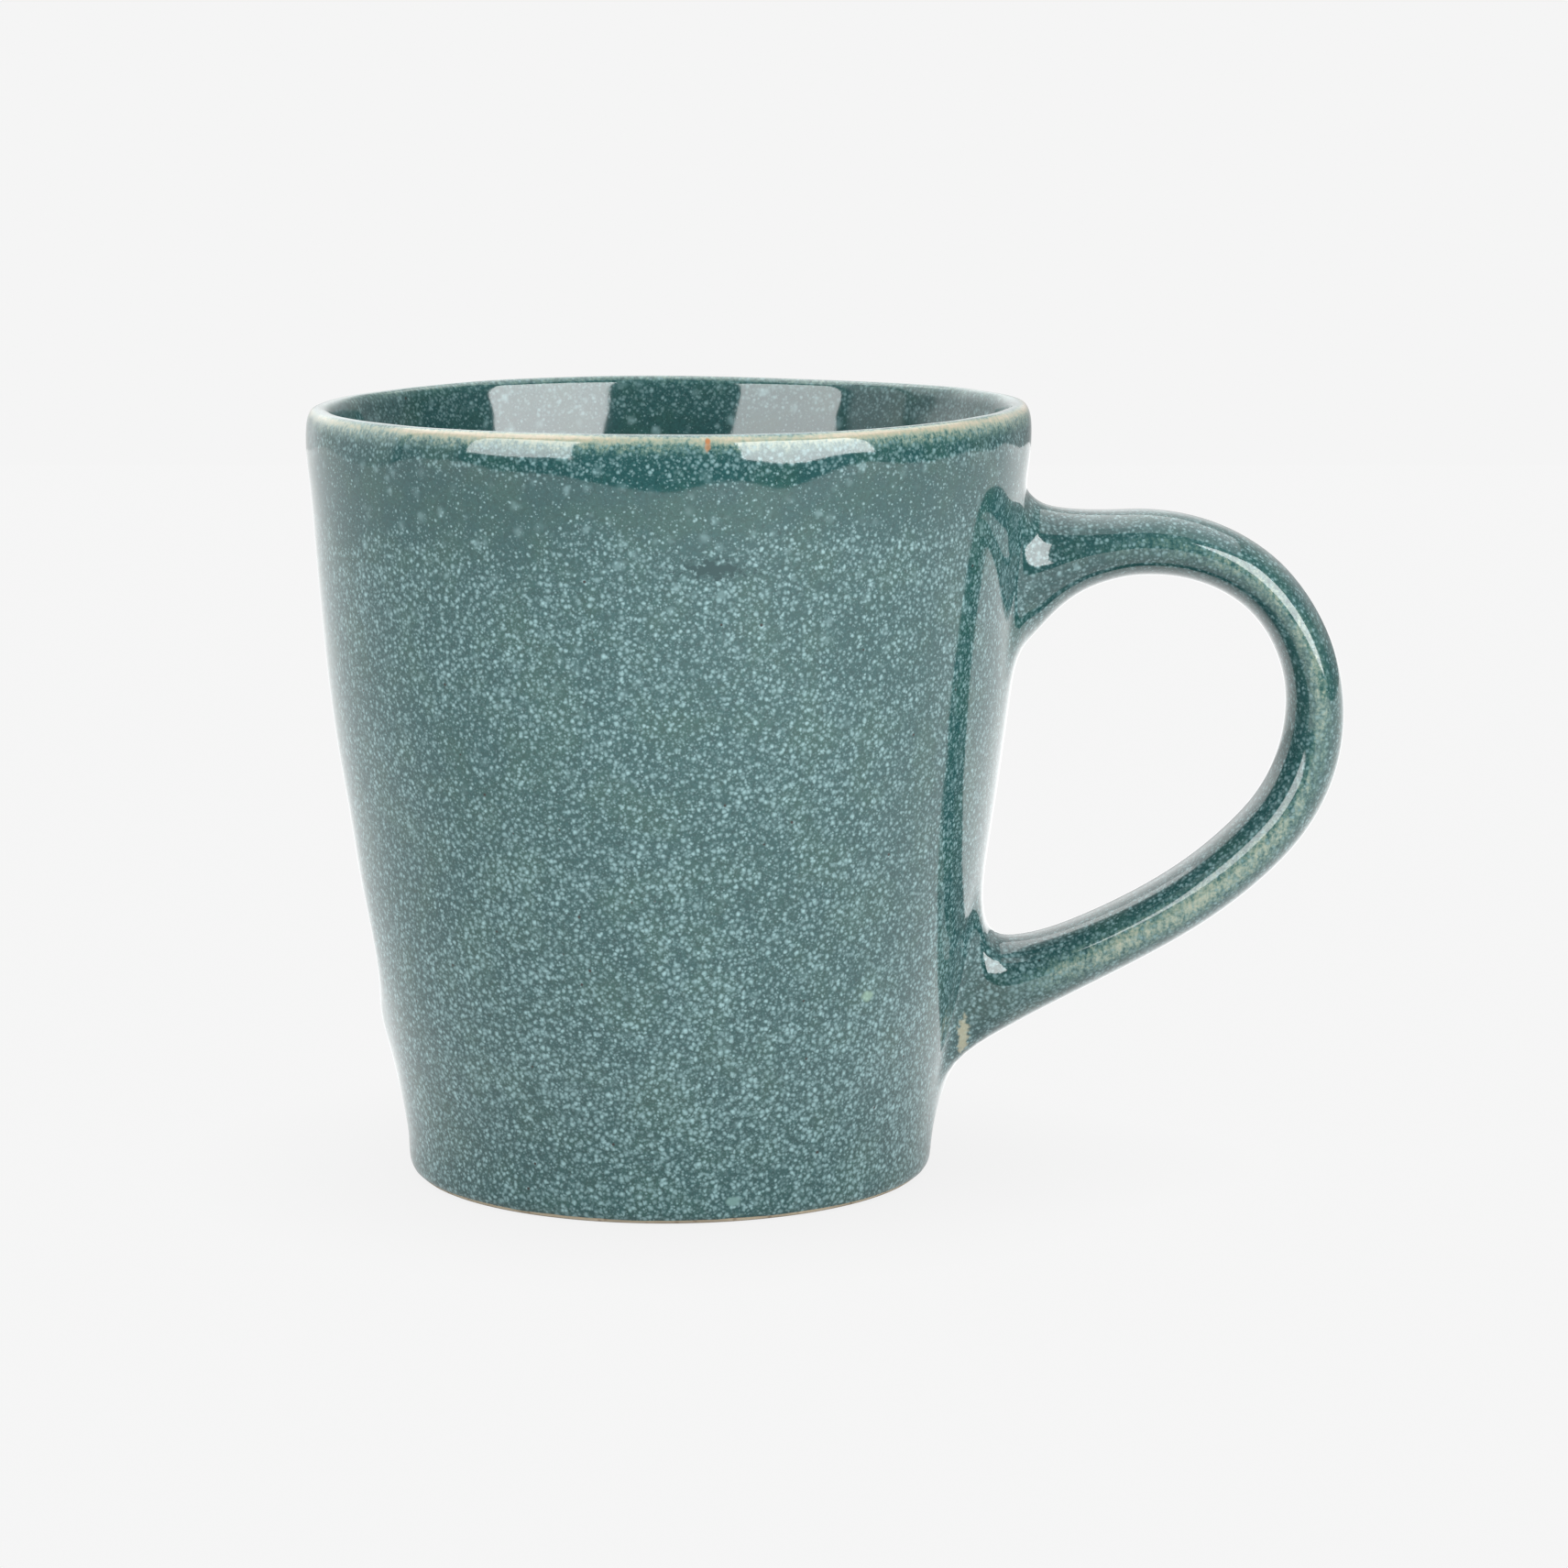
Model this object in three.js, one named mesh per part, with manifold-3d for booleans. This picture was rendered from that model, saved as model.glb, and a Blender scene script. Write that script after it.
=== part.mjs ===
// A stoneware mug, in millimetres, +Z up. The table is at z = 0. The cup is a tapered round wall with
// a bare foot ring, and a strap handle stands out along +X. The clay pieces are luted with slip, and
// each coat of glaze is a piece of its own that lies over the clay with a small gap.
// The origin is on the table, at the middle of the whole mug, handle included.

import * as THREE from 'three';
import { mergeVertices } from 'three/addons/utils/BufferGeometryUtils.js';
import Module from 'manifold-3d';

const wasm = await Module();
wasm.setup();

// ---- driving dimensions -------------------------------------------------------------------------

const mugHeight = 94;            // table to the crest of the rim
const rimRadius = 43.9;          // outside of the cup at its widest, where the lip begins
const lipThickness = 3.2;        // wall at the rim, glaze included
const lipTaper = 14;             // height over which the wall thins to the lip
const wallThickness = 4.8;       // wall below that, glaze included
const shoulderRadius = 41.5;     // outside where the lower cone turns into the steeper upper wall
const shoulderHeight = 61;
const wallBelly = 0.4;           // how far the lower cone swells past a straight line
const heelRadius = 32.4;         // outside at the end of the rounded heel
const heelHeight = 4.5;
const footRadius = 31.1;         // outside of the glaze where it stops above the foot
const glazeLine = 0.7;           // bare clay showing between the table and the glaze
const footRingWidth = 4;         // flat ring that the mug stands on
const footRecess = 2;            // depth of the hollow inside the ring
const floorThickness = 6;        // clay and glaze under the drink
const floorCorner = 9;           // inside radius between the floor and the wall

const handleReach = 38.4;        // past the rim radius, to the outermost point of the handle
const strapThickness = 7.5;      // handle section in the plane of the loop
const strapWidth = 13;           // handle section across that plane
const bendRadius = 21;           // middle line of the round end of the loop
const bendTurn = 135;            // degrees that the round end turns through
const upperArmDrop = 16.9;       // rim crest down to the middle line of the straight upper arm
const lowerRootRise = 21;        // table up to the middle line where it meets the wall
const upperRootAbove = 7;        // middle line to the edges of each root, measured at the wall
const upperRootBelow = 14.8;
const lowerRootAbove = 7.6;
const lowerRootBelow = 9;
const upperRootAboveRun = 8;     // lengths over which the strap flares into those edges
const upperRootBelowRun = 16;
const lowerRootRun = 20;
const rootWidth = 17;            // root size across the plane of the loop
const rootWidthRun = 14;

const glazeCoat = 0.5;           // thickness of the fired glaze
const slipCoat = 0.8;            // thickness of the luting slip
const seam = 0.3;                // gap between pieces that lie on each other
const rootBury = 8;              // how far the strap's path runs on inside the cup, to be cut away

const turnSteps = 48;            // facets round the cup
const wallSteps = 7;             // rings up the wall
const cornerSteps = 4;           // steps in each rounded corner
const strapSides = 16;           // facets round the handle
const strapSteps = 34;           // steps along the handle

// ---- sizes that follow --------------------------------------------------------------------------

const claySkin = glazeCoat + seam;                      // how far the clay lies under the finished face
const lipRadius = lipThickness / 2;
const lipHeight = mugHeight - lipRadius;                // middle of the rounded lip
const floorHeight = footRecess + floorThickness;
const handleTip = rimRadius + handleReach;
const cupAxisX = (rimRadius - handleTip) / 2;           // puts the origin under the middle of the mug

const wallCurve = new THREE.SplineCurve([
  new THREE.Vector2(heelRadius, heelHeight),
  new THREE.Vector2((heelRadius + shoulderRadius) / 2 + wallBelly, (heelHeight + shoulderHeight) / 2),
  new THREE.Vector2(shoulderRadius, shoulderHeight),
  new THREE.Vector2(rimRadius, lipHeight),
]);
const wallLine = wallCurve.getPoints(160);

// Outside radius of the finished cup at a height on the wall.
function outsideAt(height) {
  const above = Math.max(1, wallLine.findIndex((point) => point.y >= height));
  const [low, high] = [wallLine[above - 1], wallLine[above]];
  return low.x + (high.x - low.x) * (height - low.y) / (high.y - low.y);
}

// Inside radius of the finished cup, with the wall thinning towards the lip.
function insideAt(height) {
  const taper = THREE.MathUtils.clamp((lipHeight - height) / lipTaper, 0, 1);
  return outsideAt(height) - THREE.MathUtils.lerp(lipThickness, wallThickness, taper);
}

// ---- profiles, as points of radius and height ---------------------------------------------------

function arcPoints(centreR, centreZ, radiusR, radiusZ, fromDegrees, toDegrees) {
  const points = [];
  for (let step = 0; step <= cornerSteps; step += 1) {
    const angle = THREE.MathUtils.degToRad(THREE.MathUtils.lerp(fromDegrees, toDegrees, step / cornerSteps));
    points.push(new THREE.Vector2(centreR + radiusR * Math.cos(angle), centreZ + radiusZ * Math.sin(angle)));
  }
  return points;
}

// The outside from the glaze line up to the lip, moved inwards by `depth`.
function outsideProfile(depth, fromHeight = glazeLine) {
  const heelRun = heelRadius - footRadius;
  const heel = arcPoints(footRadius - depth, heelHeight, heelRun, heelHeight - fromHeight, -90, 0);
  const wall = [];
  for (let step = 1; step <= wallSteps; step += 1) {
    const height = THREE.MathUtils.lerp(heelHeight, lipHeight, step / wallSteps);
    wall.push(new THREE.Vector2(outsideAt(height) - depth, height));
  }
  return [...heel, ...wall];
}

// The rounded lip from outside to inside, moved inwards by `depth`.
function lipProfile(depth) {
  const radius = lipRadius - depth;
  return arcPoints(rimRadius - lipRadius, lipHeight, radius, radius, 0, 180).slice(1);
}

// The inside from the lip down the wall and round the corner to the axis, `depth` behind the face.
function insideProfile(depth, topHeight = lipHeight) {
  const cornerTop = floorHeight + floorCorner;
  const wall = [];
  for (let step = 0; step < wallSteps; step += 1) {
    const height = THREE.MathUtils.lerp(topHeight, cornerTop, step / wallSteps);
    wall.push(new THREE.Vector2(insideAt(height) + depth, height));
  }
  const cornerR = insideAt(cornerTop) - floorCorner;
  const reach = floorCorner + depth;
  const corner = arcPoints(cornerR, cornerTop, reach, reach, 0, -90);
  return [...wall, ...corner, new THREE.Vector2(0, floorHeight - depth)];
}

// ---- solids -------------------------------------------------------------------------------------

function revolve(profile) {
  const geometry = new THREE.LatheGeometry(profile, turnSteps);
  geometry.rotateX(Math.PI / 2);
  return geometry;
}

// A three.js geometry as a manifold solid: shared corners are merged and empty triangles dropped.
function toSolid(geometry) {
  const bare = geometry.clone();
  bare.deleteAttribute('normal');
  bare.deleteAttribute('uv');
  const merged = mergeVertices(bare, 1e-4);
  const corners = merged.index.array;
  const kept = [];
  for (let first = 0; first < corners.length; first += 3) {
    const [a, b, c] = corners.slice(first, first + 3);
    if (a !== b && b !== c && c !== a) kept.push(a, b, c);
  }
  return new wasm.Manifold(new wasm.Mesh({
    numProp: 3,
    vertProperties: new Float32Array(merged.attributes.position.array),
    triVerts: new Uint32Array(kept),
  }));
}

function toGeometry(solid) {
  const mesh = solid.getMesh();
  const geometry = new THREE.BufferGeometry();
  geometry.setAttribute('position', new THREE.BufferAttribute(mesh.vertProperties, 3));
  geometry.setIndex(new THREE.BufferAttribute(mesh.triVerts, 1));
  geometry.computeVertexNormals();
  return geometry;
}

// The whole cup with no hollow, its outside moved out by `growth`.
function fullCup(growth) {
  const side = outsideProfile(-growth);
  const foot = new THREE.Vector2(0, glazeLine);
  const top = new THREE.Vector2(0, lipHeight);
  return toSolid(revolve([foot, ...side, top]));
}

// ---- the handle's path and section --------------------------------------------------------------

const bendCentre = new THREE.Vector2(
  handleTip - strapThickness / 2 - bendRadius,
  mugHeight - upperArmDrop - bendRadius,
);

// The end of the path at a root: inside the cup, so that the strap's closed end is cut away.
function rootAt(height) {
  return new THREE.Vector2(outsideAt(height) - rootBury, height);
}

function strapPath() {
  const bendStart = new THREE.Vector2(bendCentre.x, bendCentre.y + bendRadius);
  const upperRoot = rootAt(bendStart.y);
  const lowerRoot = rootAt(lowerRootRise);
  const endAngle = THREE.MathUtils.degToRad(90 - bendTurn);
  const bendEnd = new THREE.Vector2(Math.cos(endAngle), Math.sin(endAngle)).multiplyScalar(bendRadius)
    .add(bendCentre);
  const along = new THREE.Vector2(Math.sin(endAngle), -Math.cos(endAngle));
  const armEnd = bendEnd.clone().addScaledVector(along, bendEnd.distanceTo(lowerRoot) / 2);
  const path = new THREE.CurvePath();
  path.add(new THREE.LineCurve(upperRoot, bendStart));
  path.add(new THREE.EllipseCurve(bendCentre.x, bendCentre.y, bendRadius, bendRadius,
    Math.PI / 2, endAngle, true));
  path.add(new THREE.QuadraticBezierCurve(bendEnd, armEnd, lowerRoot));
  return path;
}

const handlePath = strapPath();
const handleLength = handlePath.getLength();

// Goes from 1 at the wall down to 0 where the flare of a root ends.
function flare(fromWall, run) {
  return THREE.MathUtils.clamp(1 - fromWall / run, 0, 1) ** 3;
}

// Half sizes of the strap at a distance along its path: towards the finger gap, away from it, across.
function strapSection(distance) {
  const half = strapThickness / 2;
  const halfWidth = strapWidth / 2;
  const upper = distance - rootBury;
  const lower = handleLength - rootBury - distance;
  const nearRoot = Math.min(upper, lower);
  return {
    inward: half + (upperRootBelow - half) * flare(upper, upperRootBelowRun)
      + (lowerRootAbove - half) * flare(lower, lowerRootRun),
    outward: half + (upperRootAbove - half) * flare(upper, upperRootAboveRun)
      + (lowerRootBelow - half) * flare(lower, lowerRootRun),
    sideways: halfWidth + (rootWidth / 2 - halfWidth) * flare(nearRoot, rootWidthRun),
  };
}

// A closed unit cylinder laid along the path, with its section made smaller by `depth` all round.
function strapSolid(depth) {
  const geometry = new THREE.CylinderGeometry(1, 1, 1, strapSides, strapSteps);
  const corners = geometry.attributes.position;
  for (let index = 0; index < corners.count; index += 1) {
    const share = 0.5 - corners.getY(index);
    const middle = handlePath.getPointAt(share);
    const heading = handlePath.getTangentAt(share);
    const section = strapSection(share * handleLength);
    const side = corners.getX(index);
    const inward = side * ((side > 0 ? section.inward : section.outward) - depth);
    const across = corners.getZ(index) * (section.sideways - depth);
    corners.setXYZ(index, middle.x + heading.y * inward, across, middle.y - heading.x * inward);
  }
  return toSolid(geometry);
}

// ---- clay, slip and glaze -----------------------------------------------------------------------

function cupBody() {
  const clayFoot = footRadius - claySkin;
  const ringInside = clayFoot - footRingWidth;
  const foot = [
    new THREE.Vector2(0, footRecess),
    new THREE.Vector2(ringInside - footRecess, footRecess),
    new THREE.Vector2(ringInside, 0),
    new THREE.Vector2(clayFoot, 0),
  ];
  return revolve([...foot, ...outsideProfile(claySkin), ...lipProfile(claySkin), ...insideProfile(claySkin)]);
}

function outerGlaze() {
  const face = [...outsideProfile(0), ...lipProfile(0)];
  const back = [...outsideProfile(glazeCoat), ...lipProfile(glazeCoat)].reverse();
  const coat = toSolid(revolve([...face, ...back, face[0]]));
  return toGeometry(coat.subtract(strapSolid(glazeCoat)));
}

function linerGlaze() {
  const topHeight = lipHeight - seam;
  const face = insideProfile(0, topHeight);
  const back = insideProfile(glazeCoat, topHeight).reverse();
  return revolve([...back, ...face]);
}

function undersideGlaze() {
  const radius = footRadius - claySkin - footRingWidth - footRecess - seam;
  const geometry = new THREE.CylinderGeometry(radius, radius, glazeCoat, turnSteps);
  geometry.rotateX(Math.PI / 2);
  geometry.translate(0, 0, footRecess - seam - glazeCoat / 2);
  return geometry;
}

const slipInside = seam - claySkin;                     // measured outwards from the finished wall
const slipOutside = slipInside + slipCoat;

function handleClay() {
  return toGeometry(strapSolid(claySkin).subtract(fullCup(slipOutside + seam)));
}

function handleGlaze() {
  const sleeve = strapSolid(0).subtract(strapSolid(glazeCoat));
  return toGeometry(sleeve.subtract(fullCup(seam)));
}

// The two pads of slip lie where the clay strap crosses a thin shell round the cup.
function slipPads() {
  const shell = fullCup(slipOutside).subtract(fullCup(slipInside));
  return strapSolid(claySkin).intersect(shell).decompose();
}

// ---- the mug ------------------------------------------------------------------------------------

const clay = { color: 0xb89a78, roughness: 0.85, metalness: 0 };
const slip = { color: 0xa88a6a, roughness: 0.9, metalness: 0 };
const glaze = { color: 0x4f7a77, roughness: 0.12, metalness: 0 };
const innerGlaze = { color: 0x2f5653, roughness: 0.12, metalness: 0 };

const mug = new THREE.Group();
mug.position.x = cupAxisX;

function place(name, geometry, finish) {
  const mesh = new THREE.Mesh(geometry, new THREE.MeshStandardMaterial(finish));
  mesh.name = name;
  mug.add(mesh);
}

place('cup_body', cupBody(), clay);
place('handle', handleClay(), clay);
const pads = slipPads().sort((one, other) => other.boundingBox().max[2] - one.boundingBox().max[2]);
place('upper_joint_slip', toGeometry(pads[0]), slip);
place('lower_joint_slip', toGeometry(pads[1]), slip);
place('outer_glaze', outerGlaze(), glaze);
place('handle_glaze', handleGlaze(), glaze);
place('liner_glaze', linerGlaze(), innerGlaze);
place('underside_glaze', undersideGlaze(), innerGlaze);

export default mug;
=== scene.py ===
# The stoneware mug, as it is put together: studio, clay cup, clay handle and slip, the outer glaze
# with the glazed handle, the liner glaze, and the glaze under the foot. The mug's own sizes are in
# millimetres, and MM turns them into metres. The studio's sizes are in metres.
import math
import bpy
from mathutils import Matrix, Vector, noise


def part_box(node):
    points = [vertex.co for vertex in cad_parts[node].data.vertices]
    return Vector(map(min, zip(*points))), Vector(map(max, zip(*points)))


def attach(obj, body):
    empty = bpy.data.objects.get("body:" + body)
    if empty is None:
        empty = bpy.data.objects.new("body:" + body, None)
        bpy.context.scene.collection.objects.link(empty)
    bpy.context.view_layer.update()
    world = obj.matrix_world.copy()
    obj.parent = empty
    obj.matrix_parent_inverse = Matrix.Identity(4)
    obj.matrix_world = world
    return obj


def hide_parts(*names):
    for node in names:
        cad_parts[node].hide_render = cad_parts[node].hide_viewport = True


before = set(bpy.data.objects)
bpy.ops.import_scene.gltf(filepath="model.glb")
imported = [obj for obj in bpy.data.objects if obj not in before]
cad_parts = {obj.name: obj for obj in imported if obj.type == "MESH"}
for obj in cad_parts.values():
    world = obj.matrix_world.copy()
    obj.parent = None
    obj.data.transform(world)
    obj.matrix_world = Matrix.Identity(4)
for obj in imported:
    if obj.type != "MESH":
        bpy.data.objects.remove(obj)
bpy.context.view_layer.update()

# ---- studio -------------------------------------------------------------------------------------
# A white table that glows rather than being lit, two tall soft panels in front that light the mug, and a
# white sweep behind. The panels stand to the left and right of the camera, and the room between them is
# dark. None of it is the object.

MM = 0.001
glaze_low, glaze_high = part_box("outer_glaze")
cup_x = (glaze_low.x + glaze_high.x) / 2
white_level = 0.913
camera_lens = 112
camera_tilt = math.radians(9.24)
camera_place = Vector((cup_x + 14.06 * MM, -588.8 * MM, 143.2 * MM))
panel_distance = 1.0
panel_height = 0.95
panel_low = 0.12
# Each soft panel: the turns that it spans, in degrees from the camera's side, and its radiance.
soft_panels = [(-63, -23, 7.8), (25, 68.5, 10.4)]
ceiling_size = 1.7
ceiling_radiance = 1.7
ceiling_place = (cup_x, 0.45, 1.15)
sweep_level = 0.9
behind_level = 0.75
room_level = 0.08
# The walls round the room: the turn in degrees from the camera's side, and how bright they are there.
wall_levels = [(-165, sweep_level), (-104, sweep_level), (-99, 0.2), (-96, 0.2), (-94, 0.62),
               (-70, 0.62), (-66, room_level), (104, room_level), (122, 0.29), (160, 0.38)]
# Overhead the walls are this much brighter, from this rise of the line of sight upwards.
overhead_gain = 2.4
overhead_slope = 0.25
table_front, table_back, table_half_width = -0.48, 0.9, 1.1
table_drop = 0.02 * MM
# What the table sends to the glaze: its glow from left to right, how much of that is left from far
# off to close by the foot, and how much is lost at the far left and far right behind the mug.
glow_left, glow_right = 1.469, 1.95
glow_far, glow_near = 1.14, 0.86
loss_left, loss_right = 0.04, 0.2
# To the camera the table is an even white glow with a painted contact shadow round the foot: how far that
# shadow reaches, and the glow at the foot and in the open.
contact_reach = 0.03
contact_shadow_level, open_level = white_level * 0.93, white_level * 1.006


def add_node(tree, kind, inputs=None, **settings):
    """A node with its settings, whose inputs are set to values or linked from sockets."""
    node = tree.nodes.new(kind)
    for name, value in settings.items():
        setattr(node, name, value)
    for name, value in (inputs or {}).items():
        if isinstance(value, bpy.types.NodeSocket):
            tree.links.new(value, node.inputs[name])
        else:
            node.inputs[name].default_value = value
    return node


def calculate(tree, operation, first, second=0.0, third=0.0):
    """The result of a math node."""
    return add_node(tree, "ShaderNodeMath", {0: first, 1: second, 2: third}, operation=operation).outputs[0]


def rescale(tree, value, low, high, bottom=0.0, top=1.0, smooth=False):
    """A value stretched so that low gives the bottom and high the top, and held at both ends."""
    return add_node(tree, "ShaderNodeMapRange", {
        "Value": value, "From Min": low, "From Max": high, "To Min": bottom, "To Max": top},
        interpolation_type="SMOOTHSTEP" if smooth else "LINEAR").outputs["Result"]


def grey(level):
    return (level, level, level, 1)


camera_data = bpy.data.cameras.new("camera")
camera_data.lens = camera_lens
camera_data.sensor_width = 36
camera = bpy.data.objects.new("camera", camera_data)
camera.location = camera_place
camera.rotation_euler = (math.pi / 2 - camera_tilt, 0, 0)
bpy.context.scene.collection.objects.link(camera)
bpy.context.scene.camera = camera
bpy.context.scene.view_settings.view_transform = "Standard"

for turn_from, turn_to, radiance in soft_panels:
    turn = math.radians((turn_from + turn_to) / 2)
    width = 2 * panel_distance * math.tan(math.radians(turn_to - turn_from) / 2)
    panel_data = bpy.data.lights.new("soft_panel", "AREA")
    panel_data.shape = "RECTANGLE"
    panel_data.size = width
    panel_data.size_y = panel_height
    panel_data.energy = radiance * math.pi * width * panel_height
    panel = bpy.data.objects.new("soft_panel", panel_data)
    panel.location = (cup_x + math.sin(turn) * panel_distance, -math.cos(turn) * panel_distance,
                      panel_low + panel_height / 2)
    panel.rotation_euler = (math.pi / 2, 0, turn)
    panel.visible_camera = False
    bpy.context.scene.collection.objects.link(panel)

ceiling_data = bpy.data.lights.new("ceiling_panel", "AREA")
ceiling_data.size = ceiling_size
ceiling_data.energy = ceiling_radiance * math.pi * ceiling_size ** 2
ceiling = bpy.data.objects.new("ceiling_panel", ceiling_data)
ceiling.location = ceiling_place
ceiling.visible_camera = False
bpy.context.scene.collection.objects.link(ceiling)

world = bpy.data.worlds.new("room")
bpy.context.scene.world = world
world.use_nodes = True
room = world.node_tree
room.nodes.clear()
direction = add_node(room, "ShaderNodeTexCoord").outputs["Generated"]
split = add_node(room, "ShaderNodeSeparateXYZ", {"Vector": direction}).outputs
turn = calculate(room, "ARCTAN2", split["X"], calculate(room, "MULTIPLY", split["Y"], -1))
walls = add_node(room, "ShaderNodeValToRGB", {"Fac": rescale(room, turn, -math.pi, math.pi)})
stops = walls.color_ramp.elements
stops[0].position, stops[0].color = 0, grey(behind_level)
stops[1].position, stops[1].color = 1, grey(behind_level)
for degrees, brightness in wall_levels:
    stops.new(degrees / 360 + 0.5).color = grey(brightness)
rise = rescale(room, split["Z"], 0, overhead_slope, 1, overhead_gain)
brighter_above = calculate(room, "MULTIPLY", walls.outputs["Color"], rise)
seen = add_node(room, "ShaderNodeLightPath")
level = add_node(room, "ShaderNodeMix", {
    0: seen.outputs["Is Camera Ray"], 2: brighter_above, 3: white_level})
backdrop = add_node(room, "ShaderNodeBackground", {"Color": level.outputs[0], "Strength": 1})
add_node(room, "ShaderNodeOutputWorld", {"Surface": backdrop.outputs["Background"]})

bpy.ops.object.select_all(action="DESELECT")
bpy.ops.mesh.primitive_plane_add(size=1, location=(cup_x, 0, -table_drop))
table = bpy.context.active_object
table.name = "table"
bpy.ops.transform.resize(value=(2 * table_half_width, table_back - table_front, 1))
bpy.ops.transform.translate(value=(0, (table_back + table_front) / 2, 0))
bpy.ops.object.transform_apply(location=True, rotation=True, scale=True)
table_paint = bpy.data.materials.new("white_table")
table_paint.use_nodes = True
tree = table_paint.node_tree
tree.nodes.clear()
# Ambient occlusion darkens the table's glow near the foot into a painted contact shadow.
contact = add_node(tree, "ShaderNodeAmbientOcclusion", {"Distance": contact_reach}, samples=16)
contact = contact.outputs["AO"]
shade = rescale(tree, contact, 0, 1, contact_shadow_level, open_level)
place = add_node(tree, "ShaderNodeTexCoord").outputs["Object"]
across = add_node(tree, "ShaderNodeSeparateXYZ", {"Vector": place}).outputs
glare = rescale(tree, across["X"], -0.15, 0.15, glow_left, glow_right)
aside = calculate(tree, "ABSOLUTE", calculate(tree, "ADD", across["X"], -0.03))
loss = rescale(tree, across["X"], -0.1, 0.1, loss_left, loss_right)
behind = rescale(tree, across["Y"], 0.02, 0.15, 0.0, loss)
lost = calculate(tree, "MULTIPLY", rescale(tree, aside, 0.06, 0.16), behind)
sent = calculate(tree, "MULTIPLY", calculate(tree, "SUBTRACT", 1.0, lost), glare)
sent = calculate(tree, "MULTIPLY", sent, rescale(tree, across["Y"], -0.32, -0.05, glow_far, glow_near))
# The same painted contact shadow darkens what the table sends to the glaze near the foot.
sent = calculate(tree, "MULTIPLY", sent, contact)
seen = add_node(tree, "ShaderNodeLightPath")
level = add_node(tree, "ShaderNodeMix", {
    0: seen.outputs["Is Camera Ray"], 2: sent, 3: shade})
glow = add_node(tree, "ShaderNodeEmission", {"Color": level.outputs[0], "Strength": 1})
under = add_node(tree, "ShaderNodeNewGeometry")
clear = add_node(tree, "ShaderNodeBsdfTransparent")
one_sided = add_node(tree, "ShaderNodeMixShader", {
    0: under.outputs["Backfacing"], 1: glow.outputs["Emission"], 2: clear.outputs["BSDF"]})
add_node(tree, "ShaderNodeOutputMaterial", {"Surface": one_sided.outputs["Shader"]})
table.data.materials.append(table_paint)

# ---- clay cup -----------------------------------------------------------------------------------
# The cup is one piece of tan stoneware, formed in a mould and trimmed, with a flat foot ring round a
# shallow recess. Glaze covers all of it but the ring. The potter's hand leaves a slight waver.

rim_radius = (glaze_high.y - glaze_low.y) / 2 / MM
mug_height = glaze_high.z / MM
clay_skin = 0.8
lip_radius = 1.6
lip_taper = 14
wall_thickness = 4.8
heel_radius, heel_height = 32.45, 4.5
shoulder_radius, shoulder_height = 41.5, 61
wall_belly = 0.45
floor_height = 8
floor_corner = 9
recess_depth = 2
lip_height = mug_height - lip_radius


def outside_at(height):
    """Radius of the finished wall: a slightly bellied cone below the shoulder, a steeper one above."""
    if height > shoulder_height:
        rise = (height - shoulder_height) / (lip_height - shoulder_height)
        return shoulder_radius + (rim_radius - shoulder_radius) * rise
    rise = (height - heel_height) / (shoulder_height - heel_height)
    return heel_radius + (shoulder_radius - heel_radius) * rise + 4 * wall_belly * rise * (1 - rise)


def inside_at(height):
    """Radius of the finished inside, with the wall thinning towards the lip."""
    taper = min(max((lip_height - height) / lip_taper, 0), 1)
    return outside_at(height) - 2 * lip_radius - (wall_thickness - 2 * lip_radius) * taper


def lip_rings(depth, fullness):
    """The half circle over the rim, from outside to inside, as radius and height."""
    reach = (lip_radius - depth) * fullness
    middle = rim_radius - lip_radius
    turns = [math.radians(angle) for angle in (0, 45, 90, 135, 180)]
    return [(middle + reach * math.cos(turn), lip_height + reach * math.sin(turn)) for turn in turns]


def inside_rings(depth, heights):
    """The inside down to the rounded corner and in over the floor."""
    corner = floor_height + floor_corner
    middle = inside_at(corner) - floor_corner
    reach = floor_corner + depth
    rings = [(inside_at(height) + depth, height) for height in heights]
    for angle in (0, -25, -50, -72, -90):
        turn = math.radians(angle)
        rings.append((middle + reach * math.cos(turn), corner + reach * math.sin(turn)))
    return rings + [(9, floor_height - depth), (2, floor_height - depth)]


def stack_rings(name, rings, sides):
    """A round shell, raised ring by ring from a circle, about the cup's axis."""
    bpy.ops.object.select_all(action="DESELECT")
    radius, height = rings[0]
    bpy.ops.mesh.primitive_circle_add(vertices=sides, radius=radius * MM, location=(cup_x, 0, height * MM))
    shell = bpy.context.active_object
    shell.name = shell.data.name = name
    bpy.ops.object.transform_apply(location=True, rotation=True, scale=True)
    bpy.ops.object.mode_set(mode="EDIT")
    bpy.ops.mesh.select_mode(type="EDGE")
    bpy.ops.mesh.select_all(action="SELECT")
    for (radius, height), (next_radius, next_height) in zip(rings, rings[1:]):
        bpy.ops.mesh.extrude_region_move(
            TRANSFORM_OT_translate={"value": (0, 0, (next_height - height) * MM)})
        growth = next_radius / radius
        bpy.ops.transform.resize(value=(growth, growth, 1), center_override=(cup_x, 0, next_height * MM))
    bpy.ops.object.mode_set(mode="OBJECT")
    return shell


def pick_edges(shell, wanted):
    """Selects only the edges whose ends both pass a test on their place, in millimetres."""
    bpy.ops.object.mode_set(mode="OBJECT")
    for part in (*shell.data.polygons, *shell.data.edges, *shell.data.vertices):
        part.select = False
    for edge in shell.data.edges:
        ends = [shell.data.vertices[index].co / MM for index in edge.vertices]
        edge.select = all(wanted(end) for end in ends)
    bpy.ops.object.mode_set(mode="EDIT")
    bpy.ops.mesh.select_mode(type="EDGE")


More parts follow.
